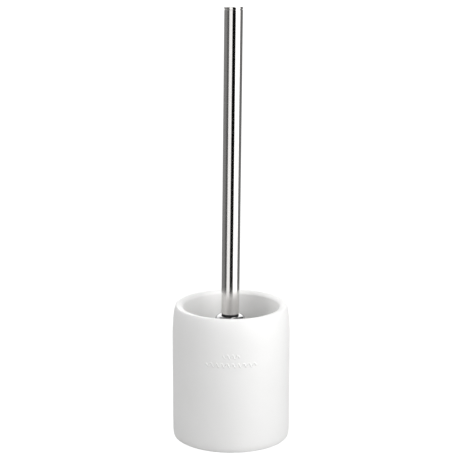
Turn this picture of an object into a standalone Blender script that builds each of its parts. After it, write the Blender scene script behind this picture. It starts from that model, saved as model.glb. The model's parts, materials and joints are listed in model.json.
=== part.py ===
"""Toilet brush in a ceramic holder: a thick-walled pot on four pads, and a brush that lifts out.

The brush is a bristle head with a threaded socket, a chrome collar, and a steel tube handle
whose plug screws into the head. Metres, +Z up, the floor at Z = 0, the pot's axis on Z.
"""

import math

import bmesh
import bpy
from mathutils import Matrix, Vector

MM = 0.001

# The pot: one ceramic body with a soft shoulder, standing on four pads.
POT_RADIUS = 50.0 * MM
POT_HEIGHT = 116.3 * MM
POT_WALL = 9.2 * MM
POT_FLOOR = 8.0 * MM
SHOULDER_INSET = 3.5 * MM
SHOULDER_HEIGHT = 28.5 * MM
RIM_LIP_WIDTH = 5.5 * MM
RIM_LIP_DROP = 2.6 * MM
BASE_INSET = 1.1 * MM
BASE_HEIGHT = 6.5 * MM
INSIDE_CORNER = 7.0 * MM

# The pads under the pot, each held in a shallow pocket.
PAD_COUNT = 4
PAD_RADIUS = 6.0 * MM
PAD_THICKNESS = 1.8 * MM
PAD_PROUD = 1.0 * MM
PAD_INSET = 7.6 * MM

# The brush as a whole, and how it stands in the pot.
TOTAL_HEIGHT = 368.0 * MM
BRUSH_OFFSET = -1.9 * MM
BRUSH_LEAN = math.radians(0.60)
REST_GAP = 0.4 * MM  # under the lowest bristles
COLLAR_DROP = 9.3 * MM  # from the rim down to the collar's top

# The collar: a chrome dome over the top of the head, loose on the plug's spigot.
COLLAR_HEIGHT = 9.4 * MM
COLLAR_WALL = 1.2 * MM
COLLAR_WEB = 2.0 * MM
COLLAR_ROUND = 4.5 * MM

# The head: a moulded core with a round nose, its tufts set in sockets.
CORE_RADIUS = 13.0 * MM
CORE_NOSE = 14.0 * MM  # from the brush's foot up to the tip of the core
BRISTLE_CLEARANCE = 4.4 * MM  # from the bristles to the pot's bore
BRISTLE_DROP = 5.6 * MM  # from the core's shoulder down to the top of the bristles
LOWEST_RING = 36.0 * MM
RING_COUNT = 4
TUFTS_PER_RING = 9
TIP_GAP = 1.2 * MM
TIP_DOME = 1.2 * MM
TUFT_ROOT = 1.8 * MM  # a tuft's radius in its socket
SOCKET_DEPTH = 5.0 * MM
NOSE_RINGS = ((14.0, 8), (50.0, 5), (90.0, 1))  # degrees down from level, and tufts
NOSE_TIP_RADIUS = 6.4 * MM

# The handle: a steel tube, an end cap, and the plug with its thread.
TUBE_RADIUS = 7.65 * MM
TUBE_WALL = 0.7 * MM
CAP_THICKNESS = 2.4 * MM
CAP_EDGE = 0.9 * MM
CAP_STEM = 8.0 * MM
PLUG_LENGTH = 22.0 * MM
SPIGOT_RADIUS = 6.0 * MM
SHOULDER_RING = 0.9 * MM  # the height of the plug's ring that shows under the tube
RING_INSET = 0.3 * MM  # from the tube's outside in to that ring
THREAD_PITCH = 3.0 * MM
THREAD_TURNS = 4
THREAD_DEPTH = 1.2 * MM
THREAD_NOSE = 1.0 * MM  # the plain lead-in below the thread
BEAD_HEIGHT = 1.2 * MM
BEAD_PROUD = 0.7 * MM

# Clearances.
SEAM = 0.3 * MM
BEAD_CLEARANCE = 0.5 * MM

# Fineness of the faceting.
POT_SIDES = 48
CORE_SIDES = 36
COLLAR_SIDES = 36
TUBE_SIDES = 32
SCREW_SIDES = 24
PAD_SIDES = 20
TUFT_SIDES = 6
ROWS_PER_PITCH = 6
SHARP_EDGE = math.radians(35)
LEAST_SLOPE = 1e-3
MERGE = 1e-7

# Places that follow from the sizes. The brush's heights are along its own axis, from its foot.
POT_BORE = POT_RADIUS - POT_WALL
INNER_FLOOR = PAD_PROUD + POT_FLOOR
BRUSH_FOOT = INNER_FLOOR + REST_GAP
COLLAR_TOP = POT_HEIGHT - COLLAR_DROP - BRUSH_FOOT
COLLAR_BORE = CORE_RADIUS - COLLAR_WALL
CORE_TOP = COLLAR_TOP - COLLAR_HEIGHT - SEAM
BOSS_TOP = COLLAR_TOP - COLLAR_WEB - SEAM
BOSS_RADIUS = COLLAR_BORE - SEAM
BOSS_ROUND = COLLAR_ROUND - COLLAR_WALL - SEAM
NOSE_CENTRE = CORE_NOSE + CORE_RADIUS
BEAD_TOP = BOSS_TOP
BEAD_BOTTOM = BEAD_TOP - BEAD_HEIGHT
POCKET_BOTTOM = BEAD_BOTTOM - BEAD_CLEARANCE
THREAD_TOP = POCKET_BOTTOM - BEAD_CLEARANCE
THREAD_BOTTOM = THREAD_TOP - THREAD_TURNS * THREAD_PITCH
THREAD_ROOT = SPIGOT_RADIUS - THREAD_DEPTH
BEAD_RADIUS = SPIGOT_RADIUS + BEAD_PROUD
RING_BOTTOM = COLLAR_TOP + SEAM
RING_TOP = RING_BOTTOM + SHOULDER_RING
TUBE_BOTTOM = RING_TOP + SEAM
TUBE_BORE = TUBE_RADIUS - TUBE_WALL
HANDLE_TOP = (TOTAL_HEIGHT - BRUSH_FOOT - TUBE_RADIUS * math.sin(BRUSH_LEAN)) / math.cos(BRUSH_LEAN)
TUBE_TOP = HANDLE_TOP - CAP_THICKNESS - SEAM
BRISTLE_RADIUS = POT_BORE - BRISTLE_CLEARANCE
BRISTLE_TOP = CORE_TOP - BRISTLE_DROP
RING_PITCH = (BRISTLE_TOP - LOWEST_RING + TIP_GAP / 2) / (RING_COUNT - 0.5)
TIP_RADIUS = (RING_PITCH - TIP_GAP) / 2


def clear_scene():
    """Start from an empty scene."""
    for thing in list(bpy.data.objects):
        bpy.data.objects.remove(thing, do_unlink=True)


def finish(name, colour, roughness, metallic):
    """A Principled material with one colour."""
    material = bpy.data.materials.new(name)
    material.use_nodes = True
    shader = material.node_tree.nodes["Principled BSDF"]
    shader.inputs["Base Color"].default_value = (*colour, 1.0)
    shader.inputs["Roughness"].default_value = roughness
    shader.inputs["Metallic"].default_value = metallic
    return material


def arc(centre, radii, start, end, steps):
    """Points of an elliptical arc in the outline's plane, angles in degrees, both ends included."""
    points = []
    for step in range(steps + 1):
        angle = math.radians(start + (end - start) * step / steps)
        across = centre[0] + radii[0] * math.cos(angle)
        up = centre[1] + radii[1] * math.sin(angle)
        points.append((across, up))
    return points


def turned(name, outline, sides):
    """A mesh turned about Z from (radius, height) points; off the axis, the outline closes itself."""
    form = bmesh.new()
    points = [form.verts.new((radius, 0.0, height)) for radius, height in outline]
    edges = [form.edges.new(pair) for pair in zip(points, points[1:])]
    if outline[0][0] > 0.0:
        edges.append(form.edges.new((points[-1], points[0])))
    bmesh.ops.spin(
        form,
        geom=points + edges,
        axis=(0.0, 0.0, 1.0),
        cent=(0.0, 0.0, 0.0),
        angle=math.tau,
        steps=sides,
        use_merge=True,
    )
    bmesh.ops.remove_doubles(form, verts=form.verts, dist=MERGE)
    bmesh.ops.recalc_face_normals(form, faces=form.faces)
    mesh = bpy.data.meshes.new(name)
    form.to_mesh(mesh)
    form.free()
    return mesh


def screwed(name, rows):
    """A rod of (height, radius, wave) rows; a wave swells it along a right-hand helix."""
    form = bmesh.new()
    rings = []
    for height, radius, wave in rows:
        ring = []
        for side in range(SCREW_SIDES):
            angle = math.tau * side / SCREW_SIDES
            swell = 1.0 + math.cos(math.tau * height / THREAD_PITCH - angle)
            reach = radius + wave * swell / 2
            ring.append(form.verts.new((reach * math.cos(angle), reach * math.sin(angle), height)))
        rings.append(ring)
    for lower, upper in zip(rings, rings[1:]):
        for side in range(SCREW_SIDES):
            after = (side + 1) % SCREW_SIDES
            form.faces.new((lower[side], lower[after], upper[after]))
            form.faces.new((lower[side], upper[after], upper[side]))
    form.faces.new(reversed(rings[0]))
    form.faces.new(rings[-1])
    mesh = bpy.data.meshes.new(name)
    form.to_mesh(mesh)
    form.free()
    return mesh


def place(name, mesh, material, parent=None, matrix=None):
    """Put a mesh in the scene as one named object, shaded smooth except at its sharp edges."""
    thing = bpy.data.objects.new(name, mesh)
    bpy.context.scene.collection.objects.link(thing)
    mesh.shade_smooth()
    mesh.set_sharp_from_angle(angle=SHARP_EDGE)
    if not mesh.materials:
        mesh.materials.append(material)
    thing.parent = parent
    if matrix is not None:
        thing.matrix_local = matrix
    return thing


def cutter(name, mesh, parent=None):
    """An object that only cuts: a wire guide that isn't part of the model."""
    thing = bpy.data.objects.new(name, mesh)
    bpy.context.scene.collection.objects.link(thing)
    thing.hide_render = True
    thing.display_type = "WIRE"
    thing.parent = parent
    return thing


def cut(thing, tool):
    """Take a tool's shape out of a thing."""
    modifier = thing.modifiers.new(tool.name, "BOOLEAN")
    modifier.operation = "DIFFERENCE"
    modifier.solver = "EXACT"
    modifier.object = tool


def joined(name, mesh, matrices):
    """One mesh made of a copy of another at each matrix."""
    form = bmesh.new()
    for matrix in matrices:
        start = len(form.verts)
        form.from_mesh(mesh)
        form.verts.ensure_lookup_table()
        bmesh.ops.transform(form, matrix=matrix, verts=form.verts[start:])
    result = bpy.data.meshes.new(name)
    form.to_mesh(result)
    form.free()
    return result


def axis_empty(name, parent=None, matrix=None):
    """An empty that stands on a joint's axis and carries that body's pieces."""
    thing = bpy.data.objects.new(name, None)
    bpy.context.scene.collection.objects.link(thing)
    thing.parent = parent
    if matrix is not None:
        thing.matrix_local = matrix
    return thing


def pot_outline():
    """The pot from the middle of its underside, up outside, over the rim and down to its floor."""
    bore = POT_BORE
    shoulder = POT_HEIGHT - SHOULDER_HEIGHT
    base = PAD_PROUD + BASE_HEIGHT
    points = [(0.0, PAD_PROUD)]
    points += arc((POT_RADIUS - BASE_INSET, base), (BASE_INSET, BASE_HEIGHT), -90, 0, 6)
    points += arc((POT_RADIUS - SHOULDER_INSET, shoulder), (SHOULDER_INSET, SHOULDER_HEIGHT), 0, 90, 7)
    lip = (bore + RIM_LIP_WIDTH, POT_HEIGHT - RIM_LIP_DROP)
    points += arc(lip, (RIM_LIP_WIDTH, RIM_LIP_DROP), 90, 180, 4)
    corner = (bore - INSIDE_CORNER, INNER_FLOOR + INSIDE_CORNER)
    points += arc(corner, (INSIDE_CORNER, INSIDE_CORNER), 0, -90, 4)
    points.append((0.0, INNER_FLOOR))
    return points


def pad_places():
    """Where the pads stand: on the diagonals, set in from the edge of the flat underside."""
    ring = POT_RADIUS - BASE_INSET - PAD_INSET - PAD_RADIUS
    places = []
    for number in range(PAD_COUNT):
        angle = math.tau * (number + 0.5) / PAD_COUNT
        places.append(Vector((ring * math.cos(angle), ring * math.sin(angle), 0.0)))
    return places


def make_pot():
    """The ceramic pot, with a pocket under it for each pad."""
    glaze = finish("white_ceramic", (0.86, 0.86, 0.855), 0.42, 0.0)
    pot = place("holder_pot", turned("holder_pot", pot_outline(), POT_SIDES), glaze)
    radius = PAD_RADIUS + SEAM
    ceiling = PAD_THICKNESS + SEAM
    outline = [(0.0, 0.0), (radius, 0.0), (radius, ceiling), (0.0, ceiling)]
    pocket = turned("pad_pocket", outline, PAD_SIDES)
    pockets = joined("pad_pockets", pocket, [Matrix.Translation(spot) for spot in pad_places()])
    cut(pot, cutter("pad_pockets", pockets))


def make_pads():
    """The anti-slip pads, round and soft, proud of the pot's underside."""
    rubber = finish("clear_rubber", (0.62, 0.62, 0.6), 0.55, 0.0)
    edge = PAD_PROUD / 3
    outline = [(0.0, 0.0), (PAD_RADIUS - edge, 0.0), (PAD_RADIUS, edge)]
    outline += [(PAD_RADIUS, PAD_THICKNESS), (0.0, PAD_THICKNESS)]
    mesh = turned("foot_pad", outline, PAD_SIDES)
    for number, spot in enumerate(pad_places(), start=1):
        place(f"foot_pad_{number}", mesh, rubber, matrix=Matrix.Translation(spot))


def tuft_reach(tilt):
    """How far a tuft that points down by tilt runs from the nose's centre to the trimmed outline."""
    sideways = (BRISTLE_RADIUS - NOSE_TIP_RADIUS * math.sin(tilt)) / max(math.cos(tilt), LEAST_SLOPE)
    downward = (NOSE_CENTRE - NOSE_TIP_RADIUS * math.cos(tilt)) / max(math.sin(tilt), LEAST_SLOPE)
    return min(sideways, downward)


def tuft_rings():
    """Each ring of tufts: where it springs from, and the reach and radius of its tips."""
    rings = []
    for number in range(RING_COUNT):
        height = LOWEST_RING + number * RING_PITCH
        turn = (number % 2) * math.pi / TUFTS_PER_RING
        rings.append(((height, 0.0, TUFTS_PER_RING, turn), BRISTLE_RADIUS, TIP_RADIUS))
    for degrees, count in NOSE_RINGS:
        tilt = math.radians(degrees)
        spring = (NOSE_CENTRE, tilt, count, math.pi / count)
        rings.append((spring, tuft_reach(tilt), NOSE_TIP_RADIUS))
    return rings


def ring_matrices(height, tilt, count, turn):
    """A place for each tuft of a ring that springs from a height on the axis and tilts down.

    Its own Z runs out along the tuft from the brush's axis.
    """
    matrices = []
    for number in range(count):
        around = Matrix.Rotation(turn + math.tau * number / count, 4, "Z")
        down = Matrix.Rotation(math.pi / 2 + tilt, 4, "Y")
        matrices.append(Matrix.Translation((0.0, 0.0, height)) @ around @ down)
    return matrices


def core_outline():
    """The core from its nose up to the boss that goes into the collar."""
    points = arc((0.0, NOSE_CENTRE), (CORE_RADIUS, CORE_RADIUS), -90, 0, 7)
    points[0] = (0.0, CORE_NOSE)
    points += [(CORE_RADIUS, CORE_TOP), (BOSS_RADIUS, CORE_TOP)]
    ease = (BOSS_RADIUS - BOSS_ROUND, BOSS_TOP - BOSS_ROUND)
    points += arc(ease, (BOSS_ROUND, BOSS_ROUND), 0, 90, 3)
    points.append((0.0, BOSS_TOP))
    return points


def thread_rows(extra, fade_top):
    """The screw thread's rows, swelling from the root; extra widens it and fade_top runs it out."""
    count = THREAD_TURNS * ROWS_PER_PITCH
    step = THREAD_PITCH / ROWS_PER_PITCH
    lead = THREAD_PITCH / 2
    rows = []
    for number in range(count + 1):
        rise = number * step
        wave = min(1.0, rise / lead)
        if fade_top:
            wave = min(wave, (count * step - rise) / lead)
        rows.append((THREAD_BOTTOM + rise, THREAD_ROOT + extra, wave * THREAD_DEPTH))
    return rows


def make_head(head):
    """The moulded core with its threaded socket, and the tufts in their holes."""
    moulded = finish("white_core", (0.84, 0.84, 0.83), 0.38, 0.0)
    core = place("brush_core", turned("brush_core", core_outline(), CORE_SIDES), moulded, head)

    nose = THREAD_BOTTOM - THREAD_NOSE - SEAM
    rows = [(nose, THREAD_ROOT + SEAM, 0.0)]
    rows += thread_rows(SEAM, False)
    pocket = BEAD_RADIUS + BEAD_CLEARANCE
    rows += [(POCKET_BOTTOM, SPIGOT_RADIUS + SEAM, 0.0), (POCKET_BOTTOM + SEAM, pocket, 0.0)]
    rows.append((BOSS_TOP + BEAD_CLEARANCE, pocket, 0.0))
    cut(core, cutter("thread_tap", screwed("thread_tap", rows), head))

    inner = CORE_RADIUS - SOCKET_DEPTH
    bore = TUFT_ROOT + SEAM
    outline = [(0.0, inner), (bore, inner), (bore, CORE_RADIUS + SOCKET_DEPTH)]
    outline.append((0.0, CORE_RADIUS + SOCKET_DEPTH))
    drill = turned("socket_drill", outline, TUFT_SIDES)
    holes = []
    for spring, _, _ in tuft_rings():
        holes += ring_matrices(*spring)
    cut(core, cutter("socket_drills", joined("socket_drills", drill, holes), head))
    make_tufts(head)


def make_tufts(head):
    """The bristle tufts, each a bundle that leaves its socket straight and flares to its tips."""
    bristle = finish("white_bristle", (0.88, 0.88, 0.87), 0.5, 0.0)
    root = CORE_RADIUS - SOCKET_DEPTH + SEAM
    neck = CORE_RADIUS + SEAM
    number = 0
    for spring, reach, tip in tuft_rings():
        outline = [(0.0, root), (TUFT_ROOT, root), (TUFT_ROOT, neck)]
        outline += [(tip, reach - TIP_DOME), (0.0, reach)]
        mesh = turned("tuft", outline, TUFT_SIDES)
        for matrix in ring_matrices(*spring):
            number += 1
            place(f"tuft_{number:02d}", mesh, bristle, head, matrix)


def make_collar(collar):
    """The chrome dome: its skirt covers the head's boss and its web lies under the tube."""
    chrome = finish("polished_chrome", (0.8, 0.8, 0.81), 0.06, 1.0)
    bottom = COLLAR_TOP - COLLAR_HEIGHT
    hole = SPIGOT_RADIUS + SEAM
    ceiling = COLLAR_TOP - COLLAR_WEB
    centre = (CORE_RADIUS - COLLAR_ROUND, COLLAR_TOP - COLLAR_ROUND)
    points = [(CORE_RADIUS, bottom)]
    points += arc(centre, (COLLAR_ROUND, COLLAR_ROUND), 0, 90, 5)
    points += [(hole, COLLAR_TOP), (hole, ceiling)]
    inner = COLLAR_ROUND - COLLAR_WALL
    ease = (COLLAR_BORE - inner, ceiling - inner)
    points += arc(ease, (inner, inner), 90, 0, 3)
    points.append((COLLAR_BORE, bottom))
    place("collar", turned("collar", points, COLLAR_SIDES), chrome, collar)


def make_handle(handle):
    """The steel tube, the cap pressed into its top and the plug pressed into its foot.

    The plug's ring takes the tube's foot and stands on the collar.
    """
    steel = finish("polished_steel", (0.78, 0.77, 0.76), 0.08, 1.0)
    plastic = finish("black_plastic", (0.03, 0.03, 0.032), 0.4, 0.0)
    stem = TUBE_BORE - SEAM

    outline = [(TUBE_BORE, TUBE_BOTTOM), (TUBE_RADIUS, TUBE_BOTTOM)]
    outline += [(TUBE_RADIUS, TUBE_TOP), (TUBE_BORE, TUBE_TOP)]
    place("handle_tube", turned("handle_tube", outline, TUBE_SIDES), steel, handle)

    edge = (TUBE_RADIUS - CAP_EDGE, HANDLE_TOP - CAP_EDGE)
    outline = [(0.0, TUBE_TOP - CAP_STEM), (stem, TUBE_TOP - CAP_STEM)]
    outline += [(stem, TUBE_TOP + SEAM), (TUBE_RADIUS, TUBE_TOP + SEAM)]
    outline += arc(edge, (CAP_EDGE, CAP_EDGE), 0, 90, 3)
    outline.append((0.0, HANDLE_TOP))
    place("handle_end_cap", turned("handle_end_cap", outline, TUBE_SIDES), steel, handle)

    rows = [(THREAD_BOTTOM - THREAD_NOSE, THREAD_ROOT - THREAD_NOSE / 2, 0.0)]
    rows += thread_rows(0.0, True)
    ramp = BEAD_HEIGHT / 3
    rows += [(BEAD_BOTTOM, THREAD_ROOT, 0.0), (BEAD_BOTTOM + ramp, BEAD_RADIUS, 0.0)]
    rows += [(BEAD_TOP, BEAD_RADIUS, 0.0), (BEAD_TOP + SEAM / 2, SPIGOT_RADIUS, 0.0)]
    ring = TUBE_RADIUS - RING_INSET
    soft = SEAM / 2
    rows += [(RING_BOTTOM, SPIGOT_RADIUS, 0.0), (RING_BOTTOM + soft, ring, 0.0)]
    rows += [(RING_TOP - soft, ring, 0.0), (RING_TOP, stem, 0.0)]
    rows.append((TUBE_BOTTOM + PLUG_LENGTH, stem, 0.0))
    place("handle_plug", screwed("handle_plug", rows), plastic, handle)


clear_scene()
make_pot()
make_pads()
stand = Matrix.Translation((BRUSH_OFFSET, 0.0, BRUSH_FOOT)) @ Matrix.Rotation(BRUSH_LEAN, 4, "Y")
head_axis = axis_empty("head_axis", matrix=stand)
collar_axis = axis_empty("collar_axis", head_axis)
handle_axis = axis_empty("handle_axis", collar_axis)
make_head(head_axis)
make_collar(collar_axis)
make_handle(handle_axis)
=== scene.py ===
import json
import math

import bpy
import numpy as np
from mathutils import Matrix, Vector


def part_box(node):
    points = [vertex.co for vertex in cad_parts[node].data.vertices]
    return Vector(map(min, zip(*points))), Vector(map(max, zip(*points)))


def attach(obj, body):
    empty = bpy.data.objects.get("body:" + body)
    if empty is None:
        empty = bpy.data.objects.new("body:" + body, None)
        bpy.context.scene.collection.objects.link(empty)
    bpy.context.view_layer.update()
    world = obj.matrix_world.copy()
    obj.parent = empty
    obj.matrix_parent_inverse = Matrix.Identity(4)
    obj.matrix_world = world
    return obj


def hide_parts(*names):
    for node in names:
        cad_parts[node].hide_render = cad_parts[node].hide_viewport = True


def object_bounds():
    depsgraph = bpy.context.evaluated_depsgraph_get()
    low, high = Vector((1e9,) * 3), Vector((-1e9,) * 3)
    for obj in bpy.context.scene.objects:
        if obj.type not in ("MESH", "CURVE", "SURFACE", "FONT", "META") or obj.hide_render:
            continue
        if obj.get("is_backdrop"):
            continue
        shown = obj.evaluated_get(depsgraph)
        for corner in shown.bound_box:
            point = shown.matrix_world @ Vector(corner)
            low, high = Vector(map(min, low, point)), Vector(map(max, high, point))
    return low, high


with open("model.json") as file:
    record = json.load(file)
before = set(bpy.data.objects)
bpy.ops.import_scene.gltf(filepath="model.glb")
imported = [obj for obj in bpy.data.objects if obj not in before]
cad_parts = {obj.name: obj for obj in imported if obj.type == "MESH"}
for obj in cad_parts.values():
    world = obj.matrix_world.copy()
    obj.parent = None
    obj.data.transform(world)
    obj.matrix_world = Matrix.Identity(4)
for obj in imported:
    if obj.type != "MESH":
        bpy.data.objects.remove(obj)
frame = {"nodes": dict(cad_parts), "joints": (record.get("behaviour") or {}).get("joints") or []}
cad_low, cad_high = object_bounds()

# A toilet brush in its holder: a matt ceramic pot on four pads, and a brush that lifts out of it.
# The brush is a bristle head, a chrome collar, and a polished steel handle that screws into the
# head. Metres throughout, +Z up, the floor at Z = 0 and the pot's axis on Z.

MM = 0.001

# ---------------------------------------------------------------------------------------------
# The pot. One slip-cast ceramic body with a thick wall, a soft shoulder and a rounded foot,
# under a matt white glaze. Two low wavy lines stand on its front, and its underside has a
# shallow pocket for each of the four pads it is glued to.
# ---------------------------------------------------------------------------------------------
POT_WALL = 9.2 * MM
POT_FLOOR = 8.0 * MM
SHOULDER = (3.5 * MM, 28.5 * MM)  # how far the shoulder comes in, and its height
LIP = (5.5 * MM, 2.6 * MM)  # how wide the rim's inner lip is, and how far it drops
FOOT_ROUND = (1.1 * MM, 6.5 * MM)
INSIDE_CORNER = 7.0 * MM
PAD_INSET = 7.6 * MM  # from the flat underside's edge to a pad
PAD_RADIUS = 6.0 * MM
PAD_THICKNESS = 1.8 * MM
SEAM = 0.3 * MM
POCKET_EDGE = 0.7 * MM  # the width of a pocket's sloping wall
RELIEF_HEIGHT = 0.5 * MM
RELIEF_STROKE = 0.58 * MM  # half the width of a raised line
RELIEF_MIDDLE = 80.6 * MM
RELIEF_REACH = 7.0 * MM  # how far below that middle the wall's close rows begin
SHOULDER_START = 2.0  # the degrees of the shoulder's curve that the upper line reaches into
WAVES = (  # each line's height above the middle, half length, wave height and wave length
    (-3.0 * MM, 22.5 * MM, 1.6 * MM, 4.6 * MM),
    (4.4 * MM, 7.6 * MM, 1.7 * MM, 4.3 * MM),
)
POT_CENTRE = 2.0 * MM  # where the underside and the floor close in to the axis
WAVE_FADE = 3.0 * MM  # the length over which a raised line dies away at its ends
FRONT_ARC = (240.0, 300.0, 0.34)  # degrees round the pot: from, to, and the step between
PAD_ARC = (-13.0, 13.1, 0.75)  # the same, about each pad's middle
PLAIN_STEP = 2.0
PAD_CLEAR = 14.0  # how many degrees from a pad, and from the front, the plain steps begin
FRONT_CLEAR = 31.0
SAME_POINT = 1e-7  # metres between two points that count as one
NOISE_SPAN = (0.3, 0.7)  # a noise's usual least and most
GLAZE = (0.905, 0.903, 0.896)
GLAZE_ROUGHNESS = (0.44, 0.56)

pot_low, pot_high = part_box("holder_pot")
pot_radius = (pot_high.x - pot_low.x) / 2
pot_bore = pot_radius - POT_WALL
pad_ring = pot_radius - FOOT_ROUND[0] - PAD_INSET - PAD_RADIUS
pad_turns = np.radians([45.0, 135.0, 225.0, 315.0])


def arc(centre, radii, start, end, count):
    """An elliptical arc: the centre, plus the two radii times an angle's cosine and sine."""
    angle = np.radians(np.linspace(start, end, count))
    return np.stack([centre[0] + radii[0] * np.cos(angle), centre[1] + radii[1] * np.sin(angle)], 1)


def chain(*stretches):
    """Stretches of an outline end to end, without the points that repeat where they meet."""
    points = np.concatenate([np.atleast_2d(np.array(part, float)) for part in stretches])
    fresh = np.hypot(*np.diff(points, axis=0).T) > SAME_POINT
    return points[np.concatenate([[True], fresh])]


def skin(name, rings, poles=None):
    """One closed mesh over a grid of points: a quad between neighbours on each two rings.

    With two pole points a fan of triangles closes each end, and without them the last ring
    joins the first.
    """
    rows, columns = rings.shape[:2]
    index = np.arange(rows * columns).reshape(rows, columns)
    points = rings.reshape(-1, 3)
    fans = np.zeros((0, 3), int)
    if poles is None:
        index = np.vstack([index, index[:1]])
    after = np.roll(index, -1, axis=1)
    quads = np.stack([index[:-1], after[:-1], after[1:], index[1:]], -1).reshape(-1, 4)
    if poles is not None:
        first = np.full(columns, rows * columns)
        fans = np.concatenate([
            np.stack([first, after[0], index[0]], 1),
            np.stack([first + 1, index[-1], after[-1]], 1),
        ])
        points = np.concatenate([points, poles])
    return filled(name, points, quads, fans)


def filled(name, points, quads, triangles):
    """A smooth-shaded mesh of these points, quads and triangles."""
    corners = np.concatenate([quads.ravel(), triangles.ravel()]).astype(np.int32)
    counts = np.concatenate([np.full(len(quads), 4), np.full(len(triangles), 3)])
    starts = np.concatenate([[0], np.cumsum(counts)[:-1]]).astype(np.int32)
    mesh = bpy.data.meshes.new(name)
    mesh.vertices.add(len(points))
    mesh.vertices.foreach_set("co", points.astype(np.float32).ravel())
    mesh.loops.add(len(corners))
    mesh.loops.foreach_set("vertex_index", corners)
    mesh.polygons.add(len(counts))
    mesh.polygons.foreach_set("loop_start", starts)
    mesh.update(calc_edges=True)
    mesh.validate()
    mesh.shade_smooth()
    return mesh


def shown(name, mesh, material):
    """A finished piece at the origin, with its place in its mesh."""
    thing = bpy.data.objects.new(name, mesh)
    mesh.materials.append(material)
    bpy.context.scene.collection.objects.link(thing)
    return thing


def shader_of(material):
    """A material's Principled shader."""
    return material.node_tree.nodes["Principled BSDF"]


def finish(name, colour, roughness, metallic=0.0):
    """A Principled material of one colour, roughness and metalness, before its detail."""
    material = bpy.data.materials.new(name)
    material.use_nodes = True
    shader = shader_of(material)
    shader.inputs["Base Color"].default_value = (*colour, 1.0)
    shader.inputs["Roughness"].default_value = roughness
    shader.inputs["Metallic"].default_value = metallic
    return material


def wire(material, source, target):
    """Join an output to an input in a material's node tree."""
    material.node_tree.links.new(source, target)


def grain(material, scale, detail, stretch=(1.0, 1.0, 1.0), turn=0.0):
    """Noise on the piece's Object coordinates, in waves per metre, stretched and leaned about Y."""
    nodes = material.node_tree.nodes
    place = nodes.new("ShaderNodeTexCoord")
    mapping = nodes.new("ShaderNodeMapping")
    mapping.inputs["Rotation"].default_value = (0.0, turn, 0.0)
    mapping.inputs["Scale"].default_value = stretch
    noise = nodes.new("ShaderNodeTexNoise")
    noise.inputs["Scale"].default_value = scale
    noise.inputs["Detail"].default_value = detail
    wire(material, place.outputs["Object"], mapping.inputs["Vector"])
    wire(material, mapping.outputs["Vector"], noise.inputs["Vector"])
    return noise.outputs["Fac"]


def glossed(material, factor, roughness):
    """Roughness that runs between two values as a noise runs over its usual span."""
    remap = material.node_tree.nodes.new("ShaderNodeMapRange")
    remap.inputs["From Min"].default_value, remap.inputs["From Max"].default_value = NOISE_SPAN
    remap.inputs["To Min"].default_value, remap.inputs["To Max"].default_value = roughness
    wire(material, factor, remap.inputs["Value"])
    wire(material, remap.outputs["Result"], shader_of(material).inputs["Roughness"])


def shade(colour, share):
    """A colour made darker or lighter by a share."""
    return tuple(channel * share for channel in colour)


def tinted(material, factor, first, second):
    """Base colour that runs from one tint to another as a noise runs over its usual span."""
    ramp = material.node_tree.nodes.new("ShaderNodeValToRGB")
    for stop, position, tint in zip(ramp.color_ramp.elements, NOISE_SPAN, (first, second)):
        stop.position = position
        stop.color = (*tint, 1.0)
    wire(material, factor, ramp.inputs["Fac"])
    wire(material, ramp.outputs["Color"], shader_of(material).inputs["Base Color"])


def bumped(material, *layers):
    """Bump of one or more (factor, depth in metres) layers, each added to the one below it."""
    below = None
    for factor, depth in layers:
        bump = material.node_tree.nodes.new("ShaderNodeBump")
        bump.inputs["Strength"].default_value = 1.0
        bump.inputs["Distance"].default_value = depth
        wire(material, factor, bump.inputs["Height"])
        if below is not None:
            wire(material, below, bump.inputs["Normal"])
        below = bump.outputs["Normal"]
    wire(material, below, shader_of(material).inputs["Normal"])


def pot_outline():
    """The pot's section: out along the underside, up the wall, over the rim, down to the floor."""
    underside = pot_low.z
    floor = underside + POT_FLOOR
    flat = pot_radius - FOOT_ROUND[0]
    base = underside + FOOT_ROUND[1]
    shoulder = pot_high.z - SHOULDER[1]
    band = RELIEF_MIDDLE - RELIEF_REACH
    pad_band = pad_ring + np.array([-1.0, 1.0]) * (PAD_RADIUS + 2 * POCKET_EDGE)
    inner = (pot_bore - INSIDE_CORNER, floor + INSIDE_CORNER)
    return chain(
        np.linspace((POT_CENTRE, underside), (pad_band[0], underside), 5),
        np.linspace((pad_band[0], underside), (pad_band[1], underside), 34),
        np.linspace((pad_band[1], underside), (flat, underside), 4),
        arc((flat, base), FOOT_ROUND, -90, 0, 16),
        np.linspace((pot_radius, base), (pot_radius, band), 10),
        np.linspace((pot_radius, band), (pot_radius, shoulder), 50),
        arc((pot_radius - SHOULDER[0], shoulder), SHOULDER, 0, SHOULDER_START, 5),
        arc((pot_radius - SHOULDER[0], shoulder), SHOULDER, SHOULDER_START, 90, 30),
        arc((pot_bore + LIP[0], pot_high.z - LIP[1]), LIP, 90, 180, 16),
        np.linspace((pot_bore, pot_high.z - LIP[1]), (pot_bore, inner[1]), 14),
        arc(inner, (INSIDE_CORNER, INSIDE_CORNER), 0, -90, 12),
        np.linspace((inner[0], floor), (POT_CENTRE, floor), 6),
    )


def pot_turns():
    """The angles round the pot, close together on its front and over the pads."""
    front = np.arange(*FRONT_ARC)
    over_pads = (np.degrees(pad_turns)[:, None] + np.arange(*PAD_ARC)).ravel()
    plain = np.arange(0.0, 360.0, PLAIN_STEP)
    from_pad, from_front = np.abs(plain % 90.0 - 45.0), np.abs(plain - 270.0)
    plain = plain[(from_pad > PAD_CLEAR) & (from_front > FRONT_CLEAR)]
    return np.radians(np.sort(np.concatenate([plain, front, over_pads])))


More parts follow.
